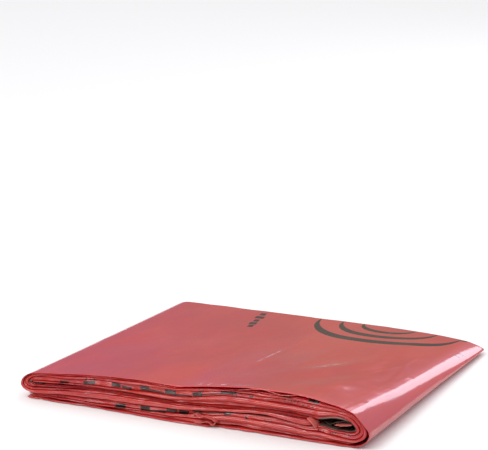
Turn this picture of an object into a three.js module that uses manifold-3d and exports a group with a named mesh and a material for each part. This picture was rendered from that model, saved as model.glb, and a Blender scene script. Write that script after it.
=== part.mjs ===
import * as THREE from "three";
import * as BufferGeometryUtils from "three/addons/utils/BufferGeometryUtils.js";
import Module from "manifold-3d";

// Folded film bag, lying flat. Millimetres, +X to the right along the front edge, +Y to the back, +Z up.

// Plan of the folded bag: s runs along the front edge and t from the front edge to the back.
const DEPTH = 265;
const FRONT_LEFT = -7;
const FRONT_RIGHT = 295;
const BACK_LEFT = 6;
const BACK_RIGHT = 302;

// The film lies in three storeys, each a third of the full height.
const FULL_HEIGHT = 37;
const STOREY = FULL_HEIGHT / 3;
const SLIT = 0.8;

// Where the storeys end and turn, along s.
const LOOSE_END = -1.5;
const TURN_START = 279;
const HOLLOW_TURN = 274;
const HOLLOW_RIGHT = 282;
const LEFT_TURN = 6;
const MIDDLE_END = 254;

// Creases between the fold edges, cut a short way in from the front and back edges.
const CREASE_WIDTH = 0.5;
const CREASE_DEPTH = 14;
const FRONT_CREASES = [1 / 3, 2 / 3];
const BACK_CREASES = [1 / 2];
const CUT_OVERRUN = 3;

// Steps of the extrusion and of the straight runs.
const DEPTH_STEPS = 6;
const RUN_STEPS = 14;
const TURN_STEPS = 8;

// Height of the top above the floor at the front and back edges, as [s, height].
const FRONT_HEIGHTS = [
  [-7, 20.5], [16, 23.5], [48, 26.6], [89, 29], [135, 29], [174, 34], [200, 36.6], [235, 36.8],
  [250, 35.5], [261, 32.7], [271, 30.7], [281, 27.5], [289, 24.6], [296, 21.4],
];
const BACK_HEIGHTS = [[-7, 13], [200, 13], [250, 11.5], [280, 9.5], [296, 6]];

function heightAt(profile, s) {
  const next = profile.findIndex(([at]) => at >= s);
  if (next <= 0) return next === 0 ? profile[0][1] : profile[profile.length - 1][1];
  const [s0, h0] = profile[next - 1];
  const [s1, h1] = profile[next];
  return THREE.MathUtils.mapLinear(s, s0, s1, h0, h1);
}

// The film's section has pairs of points, outside and inside the fold, from the loose end to the middle storey's end.
// The storeys share their places along s, so that the slit between two of them keeps its width.
function sectionPairs() {
  const pairs = [];
  const add = (outX, outZ, inX, inZ) => pairs.push([new THREE.Vector2(outX, outZ), new THREE.Vector2(inX, inZ)]);
  const run = [];
  for (let i = 0; i <= RUN_STEPS; i++) run.push(THREE.MathUtils.lerp(LEFT_TURN, MIDDLE_END, i / RUN_STEPS));
  const overHollow = (MIDDLE_END + HOLLOW_TURN) / 2;
  const runToTurn = [...run, overHollow];
  for (const x of [LOOSE_END, ...runToTurn]) add(x, 0, x, STOREY - SLIT / 2);
  for (let i = 0; i <= TURN_STEPS; i++) {
    const a = Math.PI * (i / TURN_STEPS - 0.5);
    add(
      TURN_START + (FRONT_RIGHT - TURN_START) * Math.cos(a),
      FULL_HEIGHT / 2 * (1 + Math.sin(a)),
      HOLLOW_TURN + (HOLLOW_RIGHT - HOLLOW_TURN) * Math.cos(a),
      FULL_HEIGHT / 2 + (STOREY + SLIT) / 2 * Math.sin(a),
    );
  }
  for (const x of runToTurn.reverse()) add(x, FULL_HEIGHT, x, 2 * STOREY + SLIT / 2);
  for (let i = 1; i < TURN_STEPS; i++) {
    const a = Math.PI * (i / TURN_STEPS + 0.5);
    add(
      LEFT_TURN + (LEFT_TURN - FRONT_LEFT) * Math.cos(a),
      2 * STOREY + STOREY * Math.sin(a),
      LEFT_TURN + SLIT / 2 * Math.cos(a),
      2 * STOREY + SLIT / 2 * Math.sin(a),
    );
  }
  for (const x of run) add(x, STOREY + SLIT / 2, x, 2 * STOREY - SLIT / 2);
  return pairs;
}

// A box bent along the fold: its length follows the pairs, its height goes from one share of the film's thickness
// to another, 0 outside and 1 inside, and its depth goes from tBack to tFront. It ends in the wedge's plan and height.
function foldedBox(pairs, from, to, tFront, tBack, steps) {
  const stations = pairs.length - 1;
  const geometry = new THREE.BoxGeometry(stations, 1, 1, stations, 1, steps);
  geometry.translate(stations / 2, 0.5, 0.5);
  const position = geometry.getAttribute("position");
  for (let i = 0; i < position.count; i++) {
    const [outer, inner] = pairs[Math.round(position.getX(i))];
    const point = outer.clone().lerp(inner, THREE.MathUtils.lerp(from, to, position.getY(i)));
    const t = THREE.MathUtils.lerp(tBack, tFront, position.getZ(i));
    const share = t / DEPTH;
    const height = THREE.MathUtils.lerp(heightAt(FRONT_HEIGHTS, point.x), heightAt(BACK_HEIGHTS, point.x), share);
    const backS = THREE.MathUtils.mapLinear(point.x, FRONT_LEFT, FRONT_RIGHT, BACK_LEFT, BACK_RIGHT);
    position.setXYZ(i, THREE.MathUtils.lerp(point.x, backS, share), t, point.y * height / FULL_HEIGHT);
  }
  return geometry;
}

const wasm = await Module();
wasm.setup();

function solidFrom(geometry) {
  geometry.deleteAttribute("normal");
  geometry.deleteAttribute("uv");
  const merged = BufferGeometryUtils.mergeVertices(geometry, 1e-4);
  return new wasm.Manifold(new wasm.Mesh({
    numProp: 3,
    vertProperties: new Float32Array(merged.attributes.position.array),
    triVerts: new Uint32Array(merged.index.array),
  }));
}

function geometryFrom(solid) {
  const mesh = solid.getMesh();
  const geometry = new THREE.BufferGeometry();
  geometry.setAttribute("position", new THREE.BufferAttribute(new Float32Array(mesh.vertProperties), 3));
  geometry.setIndex(new THREE.BufferAttribute(new Uint32Array(mesh.triVerts), 1));
  return geometry;
}

const pairs = sectionPairs();
let film = solidFrom(foldedBox(pairs, 0, 1, 0, DEPTH, DEPTH_STEPS));

// The creases run on past both ends of the film, so that each cut leaves clean edges there.
const moved = (pair, x) => pair.map((point) => new THREE.Vector2(point.x + x, point.y));
const creasePairs = [moved(pairs[0], -CUT_OVERRUN), ...pairs, moved(pairs[pairs.length - 1], CUT_OVERRUN)];
function cutCrease(share, tFront, tBack) {
  const half = CREASE_WIDTH / 2 / STOREY;
  film = film.subtract(solidFrom(foldedBox(creasePairs, share - half, share + half, tFront, tBack, 1)));
}
for (const share of FRONT_CREASES) cutCrease(share, -CUT_OVERRUN, CREASE_DEPTH);
for (const share of BACK_CREASES) cutCrease(share, DEPTH - CREASE_DEPTH, DEPTH + CUT_OVERRUN);

const bag = geometryFrom(film);
bag.computeBoundingBox();
const middle = bag.boundingBox.getCenter(new THREE.Vector3());
bag.translate(-middle.x, -middle.y, -bag.boundingBox.min.z);
bag.computeVertexNormals();

const filmMaterial = new THREE.MeshStandardMaterial({ color: 0xc0353c, roughness: 0.3, metalness: 0 });
const bagMesh = new THREE.Mesh(bag, filmMaterial);
bagMesh.name = "folded_bag";

const group = new THREE.Group();
group.add(bagMesh);
export default group;
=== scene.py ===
"""Looks of a large waste bag of red film, folded flat: leaves of film, with creases and print."""
import math

import bpy
import numpy as np
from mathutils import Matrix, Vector


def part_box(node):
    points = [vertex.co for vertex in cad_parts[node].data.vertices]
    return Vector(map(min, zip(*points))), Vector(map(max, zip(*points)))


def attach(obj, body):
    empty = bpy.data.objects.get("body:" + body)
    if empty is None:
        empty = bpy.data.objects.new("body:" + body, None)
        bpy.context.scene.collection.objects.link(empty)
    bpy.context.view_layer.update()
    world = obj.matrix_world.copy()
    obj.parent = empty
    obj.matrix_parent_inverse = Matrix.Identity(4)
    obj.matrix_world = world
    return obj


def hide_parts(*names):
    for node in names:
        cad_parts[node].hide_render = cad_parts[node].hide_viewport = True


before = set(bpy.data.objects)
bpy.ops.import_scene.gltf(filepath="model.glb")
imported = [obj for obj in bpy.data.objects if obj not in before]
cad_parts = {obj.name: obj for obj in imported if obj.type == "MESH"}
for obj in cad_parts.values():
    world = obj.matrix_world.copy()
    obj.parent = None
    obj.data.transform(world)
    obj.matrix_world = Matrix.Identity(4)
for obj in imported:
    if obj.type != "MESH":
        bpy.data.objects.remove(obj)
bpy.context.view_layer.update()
MM = 0.001

# Plan of the folded bag in millimetres: s along the front edge, t from the front edge to the back.
LOW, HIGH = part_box("folded_bag")
DEPTH = (HIGH.y - LOW.y) / MM
FRONT_LEFT, FRONT_RIGHT = -7.0, 295.0
BACK_LEFT, BACK_RIGHT = 6.0, 302.0
ORIGIN_S = (FRONT_LEFT + BACK_RIGHT) / 2

# Where the three storeys end and turn, along s.
LOOSE_END = -1.5
TURN_START = 279.0
HOLLOW_TURN, HOLLOW_RIGHT = 274.0, 282.0
HOLLOW_EASE = 264.0
LEFT_TURN = 6.0
MIDDLE_END = 251.0

# The left turn has hardly a hollow: its reach along s in millimetres, and in height as a share of the whole.
LEFT_HOLLOW, LEFT_HOLLOW_SHARE = 0.6, 0.008

# Height of the top at the front and back edges, as (s, millimetres), and the share of it at the bottom and
# top of the middle storey, as (s, share).
FRONT_HEIGHTS = [
    (-7, 19.5), (0, 21.6), (16, 23.5), (30, 24.7), (48, 26.6), (67, 28.2), (89, 29.2), (105, 29.6),
    (120, 29.0), (133, 28.8), (154, 31.8), (174, 34.4), (197, 36.6), (217, 36.6), (232, 36.8), (250, 35.5),
    (261, 33.0), (271, 30.7), (281, 27.7), (289, 24.8), (296, 21.4),
]
BACK_HEIGHTS = [(-7, 12.6), (30, 13.0), (200, 13.0), (250, 11.6), (280, 9.2), (296, 6.2)]
MIDDLE_FROM = [
    (-7, 0.20), (0, 0.21), (30, 0.27), (60, 0.29), (100, 0.29), (150, 0.34), (190, 0.41), (211, 0.425),
    (225, 0.385), (240, 0.335), (248, 0.36), (254, 0.43), (260, 0.39), (268, 0.38), (276, 0.43), (300, 0.45),
]
MIDDLE_TO = [
    (-7, 0.60), (16, 0.60), (50, 0.59), (69, 0.57), (100, 0.54), (150, 0.50), (175, 0.505), (190, 0.52),
    (211, 0.55), (240, 0.52), (248, 0.515), (254, 0.49), (260, 0.58), (268, 0.65), (276, 0.665), (300, 0.66),
]

# The film's way has five stretches: 0 the bottom storey, 1 the right turn, 2 the top storey, 3 the left turn
# and 4 the middle storey. For each storey, where one leaf meets the next, as (s, share): 0 outside, 1 inside.
LEAF_BOUNDS = {
    0: [
        [(0, 0.25), (60, 0.16), (128, 0.13), (178, 0.11), (280, 0.10)],
        [(0, 0.45), (60, 0.33), (105, 0.35), (128, 0.33), (150, 0.39), (178, 0.44), (211, 0.33), (260, 0.30)],
        [(0, 0.62), (60, 0.51), (105, 0.48), (128, 0.58), (150, 0.70), (178, 0.76), (211, 0.63), (240, 0.66),
         (260, 0.53)],
        [(0, 0.85), (60, 0.90), (128, 0.93), (150, 0.95), (211, 0.95), (240, 0.93), (260, 0.82)],
        [(0, 0.93), (60, 0.95), (150, 0.975), (240, 0.965), (260, 0.92)],
    ],
    2: [
        [(0, 0.04), (120, 0.045), (142, 0.10), (158, 0.07), (280, 0.07)],
        [(6, 0.20), (90, 0.20), (150, 0.17), (211, 0.25), (240, 0.20), (260, 0.15)],
        [(6, 0.42), (45, 0.40), (90, 0.37), (128, 0.31), (150, 0.31), (178, 0.27), (211, 0.40), (240, 0.35),
         (260, 0.30)],
        [(6, 0.75), (45, 0.78), (90, 0.78), (128, 0.67), (150, 0.62), (178, 0.48), (211, 0.62), (240, 0.60),
         (260, 0.54)],
        [(6, 0.87), (90, 0.90), (128, 0.88), (150, 0.80), (178, 0.78), (211, 0.85), (260, 0.80)],
    ],
    4: [
        [(6, 0.30), (60, 0.55), (250, 0.62)],
        [(6, 0.50), (60, 0.80), (150, 0.76), (250, 0.72)],
        [(6, 0.70), (60, 0.86), (150, 0.83), (250, 0.80)],
        [(6, 0.83), (60, 0.91), (150, 0.89), (250, 0.88)],
        [(6, 0.92), (60, 0.955), (150, 0.95), (250, 0.94)],
    ],
}
# How far each leaf's edge rounds off, how far it stands back in each storey, how flat its edge is, and how
# far its two ends fall short.
LEAF_ROUNDING = [0.7, 1.0, 1.3, 1.6, 1.2, 1.0]
LEAF_SET_BACK = {
    0: [0.3, 2.6, 0.7, 1.6, 0.9, 2.2], 2: [0.2, 1.3, 0.8, 1.9, 0.7, 2.8], 4: [0.5, 1.4, 3.2, 1.2, 2.8, 1.0],
}
LEAF_POWER = [2.6, 2.2, 2.4, 3.2, 2.4, 2.0]
LEAF_START_SHORT = [0.0, 2.5, 1.0, 3.5, 0.5, 2.0]
LEAF_END_SHORT = [4.0, 1.0, 0.0, 3.0, 6.0, 2.0]

# The clearance on each side of a leaf, as a share of the storey's thickness. A leaf's sides stray by a share
# of its thickness, counted up to a limit, over a length in millimetres. The second leaf keeps a least share.
LEAF_GAP = 0.006
LEAF_STRAY, STRAY_THICKNESS, STRAY_LENGTH = 0.12, 0.2, 55
LEAST_LEAF = 0.02

# Steps of the mesh: between stations along the straight runs, stations round a turn, and points along the
# sides and round the edges of the outer leaf and of the others.
STATION_STEP = 2.0
TURN_STATIONS = 22
OUTER_LOOP, INNER_LOOP = (60, 7), (12, 17)

# Heights in millimetres that stand for a share of 1 in lengths along the fold and in a leaf's thickness.
RUN_HEIGHT, LEAF_HEIGHT = 30, 31

# Sway of a leaf's front and back edges, as (millimetres, length, seed).
FRONT_SWAY = [(1.0, 70, 40), (0.45, 21, 50), (0.12, 6, 55)]
BACK_SWAY = [(0.8, 60, 60), (0.3, 17, 70)]

# The top sheet's front edge stands clear of the leaf below it, by a share of the thickness at each s, and
# round the right turn. Off its own edges the second leaf is thinned by a share.
GAP_DEPTH = 18.0
GAP_SHARES = [
    (-7, 0.02), (60, 0.03), (100, 0.05), (132, 0.03), (150, 0.08), (200, 0.10), (232, 0.10), (250, 0.06),
    (279, 0.04),
]
TURN_GAP = 0.24
SECOND_LEAF_THINNED = 0.85

# What is done to the leaves' sides comes in within this distance of the front and back edges.
EDGE_BAND = 12

# Single films show as fine ridges on a leaf's edge: how deep, how far apart across the leaf, and the length
# over which they wander. Of two thicknesses, a leaf has no ridges at the first and full ones at the second.
RIDGE_DEPTH, RIDGE_STEP, RIDGE_LENGTH = 0.17, 1.1, 140
THIN_LEAF, THICK_LEAF = 0.7, 1.6

# The lowest leaves stick out at the front between two places, each by its share of the reach, and end ragged
# at the left.
TONGUE_FROM, TONGUE_FULL, TONGUE_CUT, TONGUE_END = 60.0, 135.0, 162.5, 165.0
TONGUE_REACH, TONGUE_SHARES = 3.4, {0: 1.0, 1: 0.85, 2: 0.25}
RAGGED_FROM, RAGGED_TO, RAGGED_DEPTH = 4.0, 34.0, 2.6

# Waves of the outer sheet round the right turn: length along t and height in millimetres, start in radians.
# They slant round the turn, reach some way past it, and come in between two angles, of -pi/2 at the bottom to
# pi/2 at the top.
FOLD_WAVES = [(190.0, 0.35, 0.2), (63.0, 0.06, 2.0), (29.0, 0.015, 4.0)]
FOLD_SLANT, FOLD_REACH, FOLD_ANGLES = 0.7, 26.0, (-0.9, 0.2)

# The turn's upper shoulder is pressed in at the front and back and full between them, in millimetres. It
# comes in and goes out again between such angles.
SHOULDER_IN, SHOULDER_OUT = (-0.1, 0.8), (0.95, math.pi / 2)
SHOULDER = [(0, -1.5), (40, -1.1), (85, 0.1), (130, 0.6), (175, 0.3), (215, -0.3), (265, -0.5)]


def soft_curve(points, blur=6.0):
    """A curve that passes softly by measured (place, value) points."""
    places, values = np.array(points, float).T
    grid = np.arange(places[0] - 40, places[-1] + 40, 1.0)
    line = np.interp(grid, places, values)
    reach = np.arange(-3 * blur, 3 * blur + 1)
    weights = np.exp(-0.5 * (reach / blur) ** 2)
    padded = np.pad(line, len(reach) // 2, mode="edge")
    smooth = np.convolve(padded, weights / weights.sum(), mode="valid")
    return lambda s: np.interp(s, grid, smooth)


front_height = soft_curve(FRONT_HEIGHTS, 4.0)
back_height = soft_curve(BACK_HEIGHTS, 6.0)
middle_from = soft_curve(MIDDLE_FROM, 3.0)
middle_to = soft_curve(MIDDLE_TO, 3.0)
gap_share = soft_curve(GAP_SHARES, 4.0)
shoulder = soft_curve(SHOULDER, 10.0)


def smoothstep(x, low, high):
    u = np.clip((x - low) / (high - low), 0, 1)
    return u * u * (3 - 2 * u)


def wander(x, length, seed):
    """Smooth random values from -1 to 1 that change over about the given length."""
    local = np.random.default_rng(seed)
    waves = 6
    rates = 2 * math.pi / length * local.uniform(0.5, 1.6, waves)
    phases = local.uniform(0, 2 * math.pi, waves)
    return sum(np.sin(r * x + p) for r, p in zip(rates, phases)) / waves * 1.6


def place(s, share, t):
    """Position in metres of a point of the film, from its s, its share of the height and its t."""
    back = t / DEPTH
    height = front_height(s) * (1 - back) + back_height(s) * back
    back_s = BACK_LEFT + (s - FRONT_LEFT) * (BACK_RIGHT - BACK_LEFT) / (FRONT_RIGHT - FRONT_LEFT)
    x = s * (1 - back) + back_s * back - ORIGIN_S
    return np.stack([x * MM, (t - DEPTH / 2) * MM, share * height * MM], axis=-1)


def fold_path():
    """Stations along the fold: outer and inner (s, share of height), the length so far, and the storey."""
    outer, inner, storey = [], [], []

    def add(out_s, out_share, in_s, in_share, level):
        outer.append((out_s, out_share))
        inner.append((in_s, in_share))
        storey.append(level)

    def eased(s):
        past = s - HOLLOW_EASE
        shrunk = past * (HOLLOW_TURN - HOLLOW_EASE) / (TURN_START - HOLLOW_EASE)
        return s if past < 0 else HOLLOW_EASE + shrunk

    def straight(start, end):
        return np.linspace(start, end, int(abs(end - start) / STATION_STEP), endpoint=False)

    for s in straight(LOOSE_END, TURN_START):
        add(s, 0.0, eased(s), middle_from(eased(s)), 0)
    low, high = middle_from(HOLLOW_TURN), middle_to(HOLLOW_TURN)
    for a in np.linspace(-math.pi / 2, math.pi / 2, TURN_STATIONS):
        add(
            TURN_START + (FRONT_RIGHT - TURN_START) * math.cos(a), 0.5 + 0.5 * math.sin(a),
            HOLLOW_TURN + (HOLLOW_RIGHT - HOLLOW_TURN) * math.cos(a),
            (low + high) / 2 + (high - low) / 2 * math.sin(a), 1,
        )
    for s in straight(TURN_START, LEFT_TURN)[1:]:
        add(s, 1.0, eased(s), middle_to(eased(s)), 2)
    low = middle_from(LEFT_TURN)
    for a in np.linspace(math.pi / 2, 3 * math.pi / 2, TURN_STATIONS):
        add(
            LEFT_TURN + (LEFT_TURN - FRONT_LEFT) * math.cos(a), (1 + low) / 2 + (1 - low) / 2 * math.sin(a),
            LEFT_TURN + LEFT_HOLLOW * math.cos(a),
            middle_to(LEFT_TURN) + LEFT_HOLLOW_SHARE * math.sin(a), 3,
        )
    middle_run = np.linspace(LEFT_TURN, MIDDLE_END, int((MIDDLE_END - LEFT_TURN) / STATION_STEP) + 1)[1:]
    for s in middle_run:
        add(s, middle_from(s), s, middle_to(s), 4)
    outer, inner = np.array(outer), np.array(inner)
    steps = np.hypot(np.diff(outer[:, 0]), np.diff(outer[:, 1]) * RUN_HEIGHT)
    return outer, inner, np.concatenate([[0], np.cumsum(steps)]), np.array(storey)


OUTER, INNER, RUN, STOREY = fold_path()


def new_piece(name, vertices, faces, material):
    mesh = bpy.data.meshes.new(name)
    mesh.from_pydata(vertices.tolist(), [], faces)
    mesh.update()
    mesh.polygons.foreach_set("use_smooth", np.ones(len(mesh.polygons), bool))
    mesh.materials.append(material)
    piece = bpy.data.objects.new(name, mesh)
    bpy.context.scene.collection.objects.link(piece)
    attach(piece, "root")
    return piece


def loop_layout(side_points, edge_points):
    """The loop round a leaf's section: each point's zone, its share of t and its share of the thickness.

    The zones are 0 the front edge, 1 the outer side, 2 the back edge and 3 the inner side.
    """
    along = np.linspace(0, 1, side_points)
    half = np.linspace(0.5, 0, edge_points, endpoint=False)
    edge = np.linspace(0, 1, 2 * edge_points + 1)[1:-1]
    front = np.zeros(len(half))
    side = np.ones(side_points)
    zone = np.concatenate([front, side, np.full(len(edge), 2), 3 * side, front])
    t_share = np.concatenate([front, along, np.ones(len(edge)), along[::-1], front])
    across = np.concatenate([half, np.zeros(side_points), edge, np.ones(side_points), 1 - half[::-1]])
    return zone, t_share, across


def lobe(across, power=2.6):
    """How far a rounded edge falls back from its crest, 0 at mid thickness and 1 at the corners."""
    return 1 - np.clip(1 - np.abs(2 * across - 1) ** power, 0, 1) ** (1 / power)


# Creases of the top sheet: from (s, t) to (s, t), half width and height in millimetres.
TOP_CREASES = [
    ((163, 172), (164, 62), 1.5, 0.55), ((58, 240), (143, 65), 9.0, 0.5),
    ((95, 250), (118, 150), 6.0, -0.3), ((206, 45), (243, 142), 6.0, 0.8),
    ((222, 40), (258, 120), 5.0, -0.6), ((251, 168), (258, 100), 4.0, -0.7),
    ((266, 138), (274, 80), 3.5, -0.6), ((214, 118), (262, 30), 5.0, 0.45),
    ((180, 30), (222, 96), 4.0, 0.35), ((190, 150), (205, 60), 6.0, 0.35),
    ((20, 220), (60, 60), 10.0, -0.35), ((262, 246), (236, 186), 4.5, 0.35),
    ((278, 258), (262, 205), 3.5, -0.45), ((120, 60), (150, 12), 5.0, -0.4),
    ((232, 24), (262, 62), 4.0, 0.5), ((64, 36), (100, 12), 7.0, 0.3),
]

# Soft hills and straight ridges of the top sheet: how many of each, and their height in millimetres. The
# crest of a ridge is rounded over a share of the way to the next one.
SLACK_WAVES, SLACK_HEIGHT = 16, 0.26
RIDGES, RIDGED_HEIGHT, RIDGE_SOFTNESS = 9, 0.7, 0.03

# Where the top sheet's creases and slack come in at the left, and go out at the right, along s.
RELIEF_IN, RELIEF_OUT = (8, 30), (262, TURN_START)


def slack(s, t):
    """Random soft hills, about 60 to 150 mm across, of sheet that lies loosely."""
    local = np.random.default_rng(5)
    total = np.zeros_like(s)
    for _ in range(SLACK_WAVES):
        heading = local.uniform(0, math.pi)
        length = local.uniform(60, 150)
        phase = local.uniform(0, 2 * math.pi)
        total += np.sin(2 * math.pi / length * (s * math.cos(heading) + t * math.sin(heading)) + phase)
    return total / math.sqrt(SLACK_WAVES)


def ridged(s, t):
    """Faint straight ridges that cross each other, as film keeps them from being pressed flat."""
    local = np.random.default_rng(8)
    total = np.zeros_like(s)
    for _ in range(RIDGES):
        heading = local.uniform(0, math.pi)
        length = local.uniform(70, 190)
        phase = local.uniform(0, 1)
        cell = (s * math.cos(heading) + t * math.sin(heading)) / length + phase
        total += 0.5 - 2 * np.hypot(cell - np.round(cell), RIDGE_SOFTNESS)
    return total / math.sqrt(RIDGES)


def top_relief(s, t):
    """Height in millimetres that creases and slack add to the top sheet, less of it to the thin back."""
    relief = SLACK_HEIGHT * slack(s, t) + RIDGED_HEIGHT * ridged(s, t)
    for (s0, t0), (s1, t1), width, height in TOP_CREASES:
        ds, dt = s1 - s0, t1 - t0
        length = math.hypot(ds, dt)
        along = ((s - s0) * ds + (t - t0) * dt) / length
        off = ((s - s0) * dt - (t - t0) * ds) / length
        starts = smoothstep(along, -0.1 * length, 0.25 * length)
        ends = 1 - smoothstep(along, 0.75 * length, 1.1 * length)
        relief = relief + height * np.exp(-0.5 * (off / width) ** 2) * (starts * ends)
    return relief * (1 - 0.6 * (t / DEPTH) ** 2)


def storey_values(at_storey):
    """A value at each station: at_storey(level, s) on the straight runs, and blended round each turn."""
    values = np.empty(len(RUN))
    for level in (0, 2, 4):
        at = STOREY == level
        values[at] = at_storey(level, OUTER[at, 0])
    for turn, turn_s in ((1, TURN_START), (3, LEFT_TURN)):
        at = STOREY == turn
        start, end = (float(at_storey(level, turn_s)) for level in (turn - 1, turn + 1))
        values[at] = np.linspace(start, end, at.sum())
    return values[:, None]


def leaf_bound(number):
    """The share of the thickness where one leaf meets the next, at each station."""
    if number in (0, len(LEAF_ROUNDING)):
        return np.full((len(RUN), 1), float(number > 0))
    curves = {level: soft_curve(bounds[number - 1], 5.0) for level, bounds in LEAF_BOUNDS.items()}
    return storey_values(lambda level, s: curves[level](s))


def fold_relief(s, share, t):
    """The outer sheet's s and share with the waves that it has round the right turn."""
    turn = np.where(STOREY == 1)[0]
    angle = np.interp(np.arange(len(RUN)), [turn[0], turn[-1]], [-math.pi / 2, math.pi / 2])[:, None]
    away = np.maximum(RUN[turn[0]] - RUN, RUN - RUN[turn[-1]])[:, None]
    wave = sum(
        height * np.sin(2 * math.pi * t / length + start + FOLD_SLANT * angle * (-1) ** number)
        for number, (length, height, start) in enumerate(FOLD_WAVES)
    )
    wave = wave * (1 - smoothstep(away, 0, FOLD_REACH)) * smoothstep(angle, *FOLD_ANGLES)
    wave = wave + shoulder(t) * smoothstep(angle, *SHOULDER_IN) * (1 - smoothstep(angle, *SHOULDER_OUT))
    return s + wave * np.cos(angle), share + wave * np.sin(angle) / front_height(s)


def front_shift(index, run):
    """How far a leaf's front edge is moved back from its place, below zero where it sticks out."""
    at_bottom = (STOREY == 0)[:, None]
    s = OUTER[:, 0:1]
    tongue = smoothstep(s, TONGUE_FROM, TONGUE_FULL) * (1 - smoothstep(s, TONGUE_CUT, TONGUE_END))
    reach = TONGUE_SHARES.get(index, 0) * TONGUE_REACH
    unevenness = 0.4 + 0.6 * wander(run, 11, 80 + index) ** 2
    ragged = RAGGED_DEPTH * (1 - smoothstep(s, RAGGED_FROM, RAGGED_TO)) * unevenness
    return np.where(at_bottom, ragged - reach * tongue, 0)


def second_leaf(low, high, t):
    """The second leaf's bounds with the gap under the top sheet's front edge, and thinned off its edges."""
    at_turn = STOREY == 1
    turn_middle = np.zeros((len(RUN), 1))
    turn_middle[at_turn, 0] = np.sin(math.pi * np.linspace(0, 1, at_turn.sum()) ** 0.8)
    gap = np.where((STOREY == 2)[:, None], gap_share(OUTER[:, 0:1]), 0) + TURN_GAP * turn_middle
    inside = smoothstep(t, 1, EDGE_BAND) * (1 - smoothstep(t, DEPTH - EDGE_BAND, DEPTH - 1))
    low = low + gap * (1 - smoothstep(t, 1, GAP_DEPTH))
    low = np.maximum(low, low + (high - low) * SECOND_LEAF_THINNED * inside)
    return low, np.maximum(high, low + LEAST_LEAF)


def add_top_relief(points, s, t):
    """Raise the outer leaf's points by the creases and slack of the top sheet."""
    at = OUTER[:, 0:1]
    on_top = (STOREY == 2)[:, None] * smoothstep(at, *RELIEF_IN) * (1 - smoothstep(at, *RELIEF_OUT))
    off_edges = smoothstep(t, 0, EDGE_BAND) * (1 - smoothstep(t, DEPTH - EDGE_BAND, DEPTH))
    points[..., 2] += top_relief(s, t) * on_top * off_edges * MM


def sway_of(run, waves, index):
    return sum(height * wander(run, length, seed + index) for height, length, seed in waves)


def leaf_mesh(index):
    """Vertices of one leaf of film along the whole fold, with each one's s, t, z, share across and valley.

    The valley is 1 between two films on the leaf's edge and -1 on the crest of one. The storey of each
    station comes with them.
    """
    zone, t_share, across = loop_layout(*(OUTER_LOOP if index == 0 else INNER_LOOP))
    if index != 0:
        t_share = np.where(zone % 2 == 1, 0.5 - 0.5 * np.cos(math.pi * t_share), t_share)
    last = len(LEAF_ROUNDING) - 1
    kept = (RUN >= RUN[0] + LEAF_START_SHORT[index]) & (RUN <= RUN[-1] - LEAF_END_SHORT[index])
    run = RUN[:, None]
    rounding = LEAF_ROUNDING[index]
    low, high = leaf_bound(index), leaf_bound(index + 1)
    stray = LEAF_STRAY * np.minimum(high - low, STRAY_THICKNESS)
    low = low + LEAF_GAP + (stray * wander(run, STRAY_LENGTH, 20 + index) if index else 0)
    high = high - LEAF_GAP + (stray * wander(run, STRAY_LENGTH, 21 + index) if index < last else 0)
    set_back = storey_values(lambda level, s: LEAF_SET_BACK[level][index] + 0 * s)
    front = np.maximum(set_back + sway_of(run, FRONT_SWAY, index), 0.05) + front_shift(index, run)
    back = np.minimum(DEPTH - set_back + sway_of(run, BACK_SWAY, index), DEPTH - 0.05)
    thickness = (high - low) * np.hypot(*((INNER - OUTER) * (1, LEAF_HEIGHT)).T)[:, None]
    phase = across[None, :] * thickness / RIDGE_STEP + wander(run, RIDGE_LENGTH, 30 + index)
    ridges = RIDGE_DEPTH * np.cos(2 * math.pi * phase) * (1 - lobe(across, 2.0))
    ridges = ridges * smoothstep(thickness, THIN_LEAF, THICK_LEAF)
    # The valley value sets painted shade between the films and a painted highlight on their crests.
    valley = (ridges / RIDGE_DEPTH * (0.7 + 0.3 * wander(run, 40, 90 + index)))[kept]
    fall = rounding * lobe(across, LEAF_POWER[index])[None, :] + ridges
    t_front = front + fall
    t_back = back - fall
    t_side = (front + rounding) + (back - front - 2 * rounding) * t_share[None, :]
    t = np.where(zone[None, :] == 0, t_front, np.where(zone[None, :] == 2, t_back, t_side))
    if index == 1:
        low, high = second_leaf(low, high, t)
    w = low + (high - low) * across[None, :]
    s = OUTER[:, 0:1] + (INNER[:, 0:1] - OUTER[:, 0:1]) * w
    share = OUTER[:, 1:2] + (INNER[:, 1:2] - OUTER[:, 1:2]) * w
    if index == 0:
        s, share = fold_relief(s, share, t)
    points = place(s, share, t)
    if index == 0:
        add_top_relief(points, s, t)
    z = share * front_height(s)
    across = across[None, :] * np.ones_like(t)
    return points[kept], s[kept], t[kept], z[kept], across[kept], STOREY[kept], valley


def strip_faces(stations, loop):
    """Quads of a tube of loops, with the ends closed by strips between the loop's two halves."""
    faces = []
    for i in range(stations - 1):
        for j in range(loop):
            k = (j + 1) % loop
            faces.append((i * loop + j, i * loop + k, (i + 1) * loop + k, (i + 1) * loop + j))
    last = (stations - 1) * loop
    for j in range(loop // 2 - 1):
        near, far = j, loop - 1 - j
        faces.append((near, far, far - 1, near + 1))
        faces.append((last + near, last + near + 1, last + far - 1, last + far))
    return faces


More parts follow.
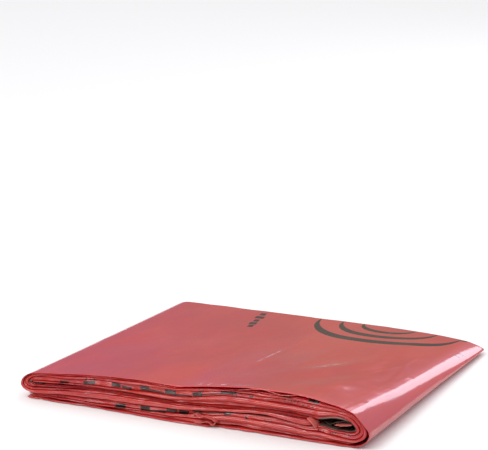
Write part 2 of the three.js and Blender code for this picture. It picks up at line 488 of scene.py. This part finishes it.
# Print that shows on the front edge, as strokes (s, z) to (s, z) with half a width, in millimetres.
EDGE_STROKES = [
    ((0, 13.6), (15.5, 14.4), 0.8), ((29, 17.2), (37.5, 18.4), 0.9), ((50.5, 19.6), (61, 21), 1.6),
    ((76, 21.8), (84, 21.4), 1.7), ((85, 20.8), (93, 20.2), 1.2), ((101, 22.4), (108.5, 22.1), 1.8),
    ((108, 21.4), (122, 20.8), 0.8), ((122.5, 22.3), (132.5, 22), 2.0), ((132, 20.9), (147, 22), 0.7),
    ((147.5, 23.4), (156, 25.2), 1.8), ((156, 24.7), (171, 27.2), 0.55), ((171, 28.2), (185, 29.8), 1.5),
    ((185, 29.8), (200, 31.2), 0.4), ((195.5, 28.2), (199, 28.7), 0.7), ((221.5, 32.7), (232, 32.2), 0.45),
    ((245, 32.7), (253.5, 31.8), 1.1), ((79, 4.6), (88, 5.1), 1.7), ((101, 5.7), (110, 6.1), 2.0),
    ((110, 5), (124, 5.7), 0.8), ((124, 7.4), (133, 7.8), 2.0), ((134.5, 7.3), (143.5, 7.8), 1.5),
    ((147.5, 9.4), (156, 9.8), 1.0), ((156, 10.1), (174, 12.4), 0.5), ((174, 11.5), (180.5, 12), 0.9),
    ((174, 12.5), (198, 15), 0.5), ((198, 15), (214, 15.2), 0.5), ((52, 3.9), (66, 4.8), 0.25),
    ((192.6, 12.2), (193.2, 9.3), 0.7), ((208, 12), (209.5, 9.8), 0.4), ((210, 10.2), (214.5, 11), 0.4),
]
# Rows of short upright marks: the row's first and last s, z, half height, and how many.
EDGE_TICKS = [
    (53.5, 60, 23.4, 1.4, 3), (24.5, 31, 15.1, 0.9, 3), (26.5, 33, 4.9, 0.7, 3), (90.8, 97.2, 2.8, 0.7, 3),
    (153, 156.3, 27.6, 1.4, 2), (224.5, 235.5, 29.4, 1.3, 5), (181, 184.5, 26.9, 0.7, 2),
    (252.5, 257, 9, 0.9, 2), (262.5, 266.4, 8.5, 0.8, 3), (269, 273.2, 22.3, 0.6, 3),
    (274.6, 278, 9.6, 1.1, 2), (240, 248, 27.6, 0.8, 3),
]
TICK_HALF_WIDTH = 0.35
EDGE_DEPTH = 9.0
# In the hollow, the inside of the film is dark from this s on and up to this t. It begins at a share of the
# innermost leaf's thickness, at a rate in millimetres for the whole of it.
HOLLOW_PRINT = (253.0, 78.0)
HOLLOW_SIDE, HOLLOW_RATE = 0.35, 6
NO_INK, FULL_INK = -9.0, 9.0


def edge_values(index, s, t, z, across, storey):
    """For the material: height at the front, 1 where the edge may be printed, and depth into hollow print."""
    printable = (t < EDGE_DEPTH) * (index > 0)
    hollow = np.full(s.shape, NO_INK)
    if index == len(LEAF_ROUNDING) - 1:
        inside = (across - HOLLOW_SIDE) * HOLLOW_RATE
        field = np.minimum(np.minimum(s - HOLLOW_PRINT[0], HOLLOW_PRINT[1] - t), inside)
        hollow = np.where(storey[:, None] <= 2, field, hollow)
    return np.stack([z, printable, hollow], -1)


class Shade:
    """Short names for the math nodes of one material."""

    def __init__(self, tree):
        self.tree = tree

    def node(self, kind, **settings):
        made = self.tree.nodes.new(kind)
        for name, value in settings.items():
            setattr(made, name, value)
        return made

    def put(self, socket, value):
        if isinstance(value, (int, float)):
            socket.default_value = value
        else:
            self.tree.links.new(value, socket)

    def math(self, operation, a, b=0.0):
        made = self.node("ShaderNodeMath", operation=operation)
        self.put(made.inputs[0], a)
        self.put(made.inputs[1], b)
        return made.outputs[0]

    def ramp(self, value, low, high):
        made = self.node("ShaderNodeMapRange", interpolation_type="SMOOTHSTEP")
        self.put(made.inputs["Value"], value)
        made.inputs["From Min"].default_value = low
        made.inputs["From Max"].default_value = high
        return made.outputs["Result"]

    def noise(self, vector, scale, detail=2.0, roughness=0.5):
        made = self.node("ShaderNodeTexNoise")
        made.inputs["Scale"].default_value = scale
        made.inputs["Detail"].default_value = detail
        made.inputs["Roughness"].default_value = roughness
        self.tree.links.new(vector, made.inputs["Vector"])
        return made.outputs["Fac"]

    def mix(self, share, first, second):
        made = self.node("ShaderNodeMix", data_type="RGBA")
        self.put(made.inputs["Factor"], share)
        for name, value in (("A", first), ("B", second)):
            socket = next(i for i in made.inputs if i.name == name and i.type == "RGBA")
            if isinstance(value, tuple):
                socket.default_value = (*value, 1)
            else:
                self.tree.links.new(value, socket)
        return next(o for o in made.outputs if o.type == "RGBA")


# The printed motif on the top sheet, in millimetres on the sheet: nested crescents that open to the back,
# as (outer radius, width), and short bars as (centre, half length, half width, turn in degrees).
RIPPLE_CENTRE = (207.0, 262.0)
RIPPLES = [(67, 12.0), (45, 10.0), (25, 8.0)]
TOP_BARS = [
    ((97, 207), 2.4, 4.2, 10), ((94.5, 217), 3.4, 4.2, 10), ((92.5, 228), 2.4, 4.2, 10),
    ((90, 240), 4.0, 4.2, 10), ((87.5, 252), 2.6, 4.2, 10), ((277, 262), 3.0, 1.6, 20),
    ((287, 216), 2.4, 1.2, 0), ((288.5, 225), 2.4, 1.2, 8),
]

# Height in millimetres above which the top sheet's print may run on round the turn, how soft the print's
# edges are on top, on the front and in the hollow, and how far and how finely they are ragged on the front.
TURN_PRINT_FROM = 15.0
INK_EDGE, STROKE_EDGE, HOLLOW_EDGE = 0.35, 0.25, 1
RAGGED_EDGE, RAGGED_SCALE = 0.9, 900


def bar_field(shade, vector, centre, half_length, half_width, turn):
    """Millimetres inside a bar, below zero outside it."""
    local = shade.node("ShaderNodeMapping", vector_type="TEXTURE")
    shade.tree.links.new(vector, local.inputs["Vector"])
    local.inputs["Location"].default_value = (*centre, 0)
    local.inputs["Rotation"].default_value = (0, 0, turn)
    size = shade.node("ShaderNodeVectorMath", operation="ABSOLUTE")
    shade.tree.links.new(local.outputs["Vector"], size.inputs[0])
    room = shade.node("ShaderNodeVectorMath", operation="SUBTRACT")
    room.inputs[0].default_value = (half_length, half_width, 0)
    shade.tree.links.new(size.outputs["Vector"], room.inputs[1])
    parts = shade.node("ShaderNodeSeparateXYZ")
    shade.tree.links.new(room.outputs["Vector"], parts.inputs[0])
    return shade.math("MINIMUM", parts.outputs[0], parts.outputs[1])


def joined(shade, fields):
    """The largest of several fields."""
    total = NO_INK
    for field in fields:
        total = shade.math("MAXIMUM", total, field)
    return total


def motif_field(shade, place_on_sheet):
    """Millimetres inside the motif of the top sheet."""
    def circle(centre, radius):
        away = shade.node("ShaderNodeVectorMath", operation="DISTANCE")
        shade.tree.links.new(place_on_sheet, away.inputs[0])
        away.inputs[1].default_value = (*centre, 0)
        return shade.math("SUBTRACT", radius, away.outputs["Value"])

    fields = []
    for radius, width in RIPPLES:
        hole = circle((RIPPLE_CENTRE[0], RIPPLE_CENTRE[1] + width), radius)
        outside_hole = shade.math("MULTIPLY", hole, -1.0)
        fields.append(shade.math("MINIMUM", circle(RIPPLE_CENTRE, radius), outside_hole))
    for centre, half_length, half_width, turn in TOP_BARS:
        fields.append(bar_field(shade, place_on_sheet, centre, half_length, half_width, math.radians(turn)))
    return joined(shade, fields)


def stroke_field(shade, place_on_edge):
    """Millimetres inside the print of the front edge."""
    fields = []
    for (s0, z0), (s1, z1), half_width in EDGE_STROKES:
        centre = ((s0 + s1) / 2, (z0 + z1) / 2)
        length = math.hypot(s1 - s0, z1 - z0)
        turn = math.atan2(z1 - z0, s1 - s0)
        fields.append(bar_field(shade, place_on_edge, centre, length / 2, half_width, turn))
    for first, last, z, half_height, count in EDGE_TICKS:
        for s in np.linspace(first, last, count):
            fields.append(bar_field(shade, place_on_edge, (float(s), z), TICK_HALF_WIDTH, half_height, 0))
    return joined(shade, fields)


# Colours of the film's deeper and lighter streaks, the print, the paler pink of painted sheen, the painted glow
# of film lit through in a gap, the painted shade in the valleys and painted highlight on the crests of an edge,
# and the dark print inside the hollow.
FILM_DEEP = (0.405, 0.019, 0.027)
FILM_LIGHT = (0.505, 0.036, 0.030)
INK = (0.016, 0.009, 0.006)
PAINTED_SHEEN_FILM = (0.66, 0.16, 0.14)
PAINTED_GLOW_FILM = (0.70, 0.010, 0.030)
VALLEY_SHADE = (0.15, 0.004, 0.009)
CREST_HIGHLIGHT = (0.69, 0.066, 0.048)
INK_INSIDE = (0.085, 0.058, 0.044)

# Shares: how far the top sheet's colour is the paler pink of painted sheen, how strong the print is, and how
# far the painted glow of film lit in the gap, the painted shade in a valley and the painted highlight on a
# crest come in. The last two come in between two values of valley.
OUTER_PAINTED_SHEEN = 0.29
INK_STRENGTH = 0.96
PAINTED_GLOW_SHARE = 0.8
VALLEY_SHADE_SHARE, VALLEY_RANGE = 0.65, (0.2, 0.9)
CREST_HIGHLIGHT_SHARE, CREST_RANGE = 0.8, (0.0, -0.7)

# Streaks of deeper and lighter film: their turn in degrees, and how far they are drawn out. Here and below,
# noise is given as scale, detail and roughness, and a range as the two values between which something comes in.
STREAK_TURN, STREAK_DRAWN_OUT = 52, 0.35
STREAK_NOISE, STREAK_RANGE = (22, 3.0, 0.6), (0.33, 0.67)

# Gloss of the film: refraction, least and most roughness, and the bumps' strength and height in metres.
REFRACTION = 1.58
LEAST_ROUGH, MOST_ROUGH, ROUGH_NOISE = 0.05, 0.15, (40, 3.0)
BUMP_STRENGTH, BUMP_HEIGHT = 0.30, 0.0006

# Fine creases: each net's turn in degrees, how far its cells are drawn out, and its cells to the metre. Then
# the width and height of the creases, where they are broken off, and the grain of the film between them.
CREASE_NETS = [(38, 0.30, 22), (-24, 0.35, 30)]
CREASE_WIDTH, CREASE_HEIGHT = 0.07, 0.55
BREAK_NOISE, BREAK_RANGE = (26, 1.0), (0.45, 0.62)
GRAIN_NOISE, GRAIN_HEIGHT = (90, 4.0, 0.55), 0.45


def film_height(shade, place_on_object):
    """Height of the film's surface: fine grain with nets of long thin creases."""
    total = shade.math("MULTIPLY", shade.noise(place_on_object, *GRAIN_NOISE), GRAIN_HEIGHT)
    for turn, drawn_out, scale in CREASE_NETS:
        turned = shade.node("ShaderNodeMapping")
        shade.tree.links.new(place_on_object, turned.inputs["Vector"])
        turned.inputs["Rotation"].default_value = (0, 0, math.radians(turn))
        turned.inputs["Scale"].default_value = (1, drawn_out, 1)
        net = shade.node("ShaderNodeTexVoronoi", feature="DISTANCE_TO_EDGE")
        net.inputs["Scale"].default_value = scale
        shade.tree.links.new(turned.outputs["Vector"], net.inputs["Vector"])
        line = shade.ramp(net.outputs["Distance"], CREASE_WIDTH, 0.0)
        broken = shade.ramp(shade.noise(place_on_object, *BREAK_NOISE), *BREAK_RANGE)
        crease = shade.math("MULTIPLY", shade.math("MULTIPLY", line, broken), CREASE_HEIGHT)
        total = shade.math("ADD", total, crease)
    return total


def film_material():
    """Glossy red film with dark print, and with painted sheen, glow, shade and highlights."""
    material = bpy.data.materials.new("red_film")
    material.use_nodes = True
    shade = Shade(material.node_tree)
    links = material.node_tree.links
    shader = material.node_tree.nodes["Principled BSDF"]
    shader.inputs["IOR"].default_value = REFRACTION
    place_on_object = shade.node("ShaderNodeTexCoord").outputs["Object"]

    def values(name):
        parts = shade.node("ShaderNodeSeparateXYZ")
        links.new(shade.node("ShaderNodeAttribute", attribute_name=name).outputs["Vector"], parts.inputs[0])
        return parts.outputs

    def flat(first, second):
        made = shade.node("ShaderNodeCombineXYZ")
        links.new(first, made.inputs[0])
        links.new(second, made.inputs[1])
        return made.outputs[0]

    s, t, on_top = values("sheet")
    z, printable, hollow = values("edge")
    ragged = shade.math("SUBTRACT", shade.noise(place_on_object, RAGGED_SCALE), 0.5)
    ragged = shade.math("MULTIPLY", ragged, RAGGED_EDGE)
    strokes = shade.math("ADD", stroke_field(shade, flat(s, z)), ragged)
    strokes = shade.math("MULTIPLY", shade.ramp(strokes, -STROKE_EDGE, STROKE_EDGE), printable)
    edge_print = shade.math("MAXIMUM", strokes, shade.ramp(hollow, -HOLLOW_EDGE, HOLLOW_EDGE))
    top_print = shade.ramp(motif_field(shade, flat(s, t)), -INK_EDGE, INK_EDGE)
    top_print = shade.math("MULTIPLY", top_print, shade.ramp(on_top, 0.45, 0.55))
    ink = shade.math("MULTIPLY", shade.math("MAXIMUM", edge_print, top_print), INK_STRENGTH)
    ink_colour = shade.mix(shade.ramp(hollow, -HOLLOW_EDGE, HOLLOW_EDGE), INK, INK_INSIDE)

    streaked = shade.node("ShaderNodeMapping")
    links.new(place_on_object, streaked.inputs["Vector"])
    streaked.inputs["Rotation"].default_value = (0, 0, math.radians(STREAK_TURN))
    streaked.inputs["Scale"].default_value = (1, STREAK_DRAWN_OUT, 1)
    cloud = shade.ramp(shade.noise(streaked.outputs["Vector"], *STREAK_NOISE), *STREAK_RANGE)
    film = shade.mix(cloud, FILM_DEEP, FILM_LIGHT)
    # Painted light: a paler sheen, a glow where light comes through in the gap, shade in the valleys of an edge
    # and highlights on its crests.
    painted_sheen, valley, painted_glow = values("painted_light")
    film = shade.mix(painted_sheen, film, PAINTED_SHEEN_FILM)
    film = shade.mix(shade.math("MULTIPLY", painted_glow, PAINTED_GLOW_SHARE), film, PAINTED_GLOW_FILM)
    # Painted shade in the valleys between the films of an edge.
    film = shade.mix(shade.math("MULTIPLY", shade.ramp(valley, *VALLEY_RANGE), VALLEY_SHADE_SHARE), film, VALLEY_SHADE)
    # Painted highlight on the crests of an edge.
    film = shade.mix(shade.math("MULTIPLY", shade.ramp(valley, *CREST_RANGE), CREST_HIGHLIGHT_SHARE), film, CREST_HIGHLIGHT)
    links.new(shade.mix(ink, film, ink_colour), shader.inputs["Base Color"])

    gloss = shade.noise(place_on_object, *ROUGH_NOISE)
    rough = shade.node("ShaderNodeMapRange")
    links.new(gloss, rough.inputs["Value"])
    rough.inputs["To Min"].default_value = LEAST_ROUGH
    rough.inputs["To Max"].default_value = MOST_ROUGH
    links.new(rough.outputs["Result"], shader.inputs["Roughness"])

    bump = shade.node("ShaderNodeBump")
    bump.inputs["Strength"].default_value = BUMP_STRENGTH
    bump.inputs["Distance"].default_value = BUMP_HEIGHT
    links.new(film_height(shade, place_on_object), bump.inputs["Height"])
    links.new(bump.outputs["Normal"], shader.inputs["Normal"])
    return material


def mark_mesh(piece, name, values):
    attribute = piece.data.attributes.new(name, "FLOAT_VECTOR", "POINT")
    attribute.data.foreach_set("vector", np.ascontiguousarray(values, np.float32).ravel())


# A leaf's outer side goes up to this share across it. A painted glow, of light let through in the gap, goes on
# its inner side from this one.
OUTER_SIDE, INNER_SIDE = 0.3, 0.25


def build_film(material):
    for index in range(len(LEAF_ROUNDING)):
        points, s, t, z, across, storey, valley = leaf_mesh(index)
        stations, loop = points.shape[:2]
        faces = strip_faces(stations, loop)
        piece = new_piece(f"film_leaf_{index + 1}", points.reshape(-1, 3), faces, material)
        upper = (storey == 2) | ((storey == 1) & (z.max(axis=1) > TURN_PRINT_FROM))
        on_top = (index == 0) * upper[:, None] * (across < OUTER_SIDE)
        mark_mesh(piece, "sheet", np.stack([s, t, on_top], -1))
        mark_mesh(piece, "edge", edge_values(index, s, t, z, across, storey))
        # Painted sheen: the outer side of the outer leaf is painted a paler pink.
        painted_sheen = OUTER_PAINTED_SHEEN * (index == 0) * (across < OUTER_SIDE)
        # Painted glow: crimson where light comes through the top sheet's front edge into the gap.
        painted_glow = (across > INNER_SIDE) if index == 0 else (across < OUTER_SIDE) * (index == 1)
        painted_glow = painted_glow * (storey == 2)[:, None] * (t < GAP_DEPTH)
        mark_mesh(piece, "painted_light", np.stack([painted_sheen, valley, painted_glow], -1))
        if index == 0:
            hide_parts("folded_bag")


# Loose bits of film at the front: a name, the path of the bit's front edge as (s, z, t), its depth and
# thickness, and how far its colour is the paler pink of painted sheen.
LOOSE_BITS = [
    ("gap_fold", [(186, 32.6, 0.2), (198, 34.9, 0.2), (208, 36.1, 0.1), (215, 35.0, 0), (222, 33.6, -0.3),
     (229, 34.3, 0), (237, 35.8, 0.2), (246, 34.8, 0.3)], 12, 0.5, 0.5),
    ("end_flap", [(243.6, 18.0, 0.6), (245.6, 18.6, -2.2), (248.6, 17.2, -3.6), (251.2, 14.2, -3.6),
     (251.6, 11.4, -1.0)], 7, 0.6, 1.0),
    ("crumpled_corner", [(148.5, 8.0, -1.0), (151.5, 9.2, -2.8), (155.5, 6.6, -4.0), (160, 8.6, -3.4),
     (166, 7.0, -3.8), (169.2, 5.2, -3.2), (167.0, 1.8, -3.8), (162, 4.6, -3.2), (156, 2.4, -3.8),
     (150.5, 2.2, -2.6)], 9, 0.5, 0.6),
    ("hollow_sliver", [(266.2, 15.6, 1.5), (272, 16.2, -0.4), (279.8, 17.4, 0.6)], 10, 0.4, 1.0),
    ("hollow_sheet", [(254.8, 15.7, 8), (260, 14.0, 5), (266, 16.9, 4), (273, 18.4, 5), (280.6, 16.6, 7)],
     65, 0.4, 0.0),
]
PRINTED_BITS = ["hollow_sheet"]

# Steps along a bit's path and into its depth, and how often its path is smoothed. Then, as shares of its
# thickness, how far its front edge stands out and half the flat on it, and the edge's sway in millimetres.
BIT_STEPS, BIT_DEPTH_STEPS, BIT_SMOOTHING = 60, 12, 3
BIT_TIP, BIT_FLAT = 0.4, 0.1
BIT_SWAY, BIT_SWAY_LENGTH = 0.3, 9


def build_bit(name, path, depth, thickness, painted_sheen, material):
    """A strip of film that runs back from a smooth path, with a round front edge."""
    corners = np.array(path, float)
    reach = np.concatenate([[0], np.cumsum(np.linalg.norm(np.diff(corners, axis=0), axis=1))])
    even = np.linspace(0, reach[-1], BIT_STEPS)
    line = np.stack([np.interp(even, reach, column) for column in corners.T], -1)
    for _ in range(BIT_SMOOTHING):
        line[1:-1] = (line[:-2] + 2 * line[1:-1] + line[2:]) / 4
    ahead = np.gradient(line[:, :2], axis=0)
    normal = np.stack([-ahead[:, 1], ahead[:, 0]], -1) / np.hypot(*ahead.T)[:, None]
    inwards = np.linspace(0, 1, BIT_DEPTH_STEPS) ** 1.5
    tip = [-BIT_TIP * thickness / depth]
    share = np.concatenate([tip, inwards, inwards[::-1], tip])[None, :]
    half = thickness / 2 * np.ones(BIT_DEPTH_STEPS)
    side = np.concatenate([[BIT_FLAT * thickness], half, -half, [-BIT_FLAT * thickness]])[None, :]
    front = line[:, 2:3] + BIT_SWAY * wander(even[:, None], BIT_SWAY_LENGTH, len(name))
    s = line[:, 0:1] + normal[:, 0:1] * side
    z = line[:, 1:2] + normal[:, 1:2] * side
    t = front + (depth - front) * share
    points = place(s, z / front_height(s), t)
    stations, loop = points.shape[:2]
    piece = new_piece(name, points.reshape(-1, 3), strip_faces(stations, loop), material)
    none = np.zeros(s.shape)
    ink = none + (FULL_INK if name in PRINTED_BITS else NO_INK)
    mark_mesh(piece, "edge", np.stack([none, none, ink], -1))
    # Each bit's share of the painted sheen, a paler pink.
    mark_mesh(piece, "painted_light", np.stack([none + painted_sheen, none, none], -1))


# Camera of the photograph: place in row millimetres and view direction.
CAMERA_PLACE = (627.6, -1436.8, 522.0)
CAMERA_LOOK = (-0.39603, 0.88552, -0.24294)
CAMERA_LENS = 144.6


def build_camera():
    data = bpy.data.cameras.new("camera")
    data.lens = CAMERA_LENS
    data.clip_end = 20
    camera = bpy.data.objects.new("camera", data)
    camera.location = Vector(CAMERA_PLACE) * MM
    camera.rotation_euler = Vector(CAMERA_LOOK).to_track_quat("-Z", "Y").to_euler()
    bpy.context.scene.collection.objects.link(camera)
    bpy.context.scene.camera = camera


# Area lights: a name, the place and the point that it faces, width and height, all in metres, then watts,
# colour, and spread in degrees.
LIGHTS = [
    ("key", (-0.6, -1.2, 1.5), (0, 0, 0), (1.0, 1.0), 14, (1, 1, 1), 180),
    ("back_softbox", (0.27, 1.75, 0.88), (0.1, 0, 0), (0.5, 0.66), 3.7, (0.78, 0.87, 1), 180),
    ("floor_wash", (0.48, 0.14, 0.5), (0.48, 0.14, 0), (0.35, 0.6), 1.2, (1, 1, 1), 40),
    ("low_back_softbox", (-0.08, 1.75, 0.8), (0.1, 0, 0), (0.26, 0.2), 0.22, (1, 0.75, 0.92), 180),
]


def area_light(name, location, target, size, power, colour, spread):
    data = bpy.data.lights.new(name, "AREA")
    data.shape = "RECTANGLE"
    data.size, data.size_y = size
    data.energy = power
    data.spread = math.radians(spread)
    data.color = colour
    light = bpy.data.objects.new(name, data)
    light.location = location
    light.rotation_euler = (Vector(target) - Vector(location)).to_track_quat("-Z", "Y").to_euler()
    bpy.context.scene.collection.objects.link(light)


# Studio: brightness and tint of the light from above, from low at the front, and from low at the back in
# three stretches from left to right. The floor lies a little under the lowest leaf.
ABOVE = (1.12, 1.12, 1.12)
LOW_FRONT = (0.50, 0.50, 0.50)
FLOOR_REACH, FLOOR_LEVEL = 6.0, -0.0005
LOW_BACK = [(0.29, 0.22, 0.33), (0.30, 0.29, 0.25), (0.62, 0.56, 0.72)]

# Where one passes into the next, as two values of the direction's x, y or z.
LEFT_TO_MIDDLE, MIDDLE_TO_RIGHT = (-0.52, -0.34), (-0.27, -0.05)
BACK_TO_FRONT, LOW_TO_ABOVE = (0.4, -0.4), (0.22, 0.70)


def build_world():
    """Light from all round, brighter from above than from the sides."""
    world = bpy.data.worlds.new("studio")
    world.use_nodes = True
    shade = Shade(world.node_tree)
    links = world.node_tree.links
    direction = shade.node("ShaderNodeSeparateXYZ")
    links.new(shade.node("ShaderNodeTexCoord").outputs["Generated"], direction.inputs[0])
    x, y, z = direction.outputs
    low_back = shade.mix(shade.ramp(x, *LEFT_TO_MIDDLE), LOW_BACK[0], LOW_BACK[1])
    low_back = shade.mix(shade.ramp(x, *MIDDLE_TO_RIGHT), low_back, LOW_BACK[2])
    low = shade.mix(shade.ramp(y, *BACK_TO_FRONT), low_back, LOW_FRONT)
    background = world.node_tree.nodes["Background"]
    links.new(shade.mix(shade.ramp(z, *LOW_TO_ABOVE), low, ABOVE), background.inputs["Color"])
    bpy.context.scene.world = world


def build_studio():
    build_world()
    bpy.context.scene.view_settings.view_transform = "Standard"
    for light in LIGHTS:
        area_light(*light)
    floor_mesh = bpy.data.meshes.new("floor")
    signs = ((-1, -1), (1, -1), (1, 1), (-1, 1))
    corners = [(x * FLOOR_REACH, y * FLOOR_REACH, FLOOR_LEVEL) for x, y in signs]
    floor_mesh.from_pydata(corners, [], [(0, 1, 2, 3)])
    floor = bpy.data.objects.new("floor", floor_mesh)
    pale = bpy.data.materials.new("pale_floor")
    pale.use_nodes = True
    pale.node_tree.nodes["Principled BSDF"].inputs["Base Color"].default_value = (0.9, 0.9, 0.9, 1)
    pale.node_tree.nodes["Principled BSDF"].inputs["Roughness"].default_value = 0.9
    floor_mesh.materials.append(pale)
    bpy.context.scene.collection.objects.link(floor)


build_camera()
FILM = film_material()
build_film(FILM)
for bit in LOOSE_BITS:
    build_bit(*bit, FILM)
build_studio()

bpy.context.view_layer.update()
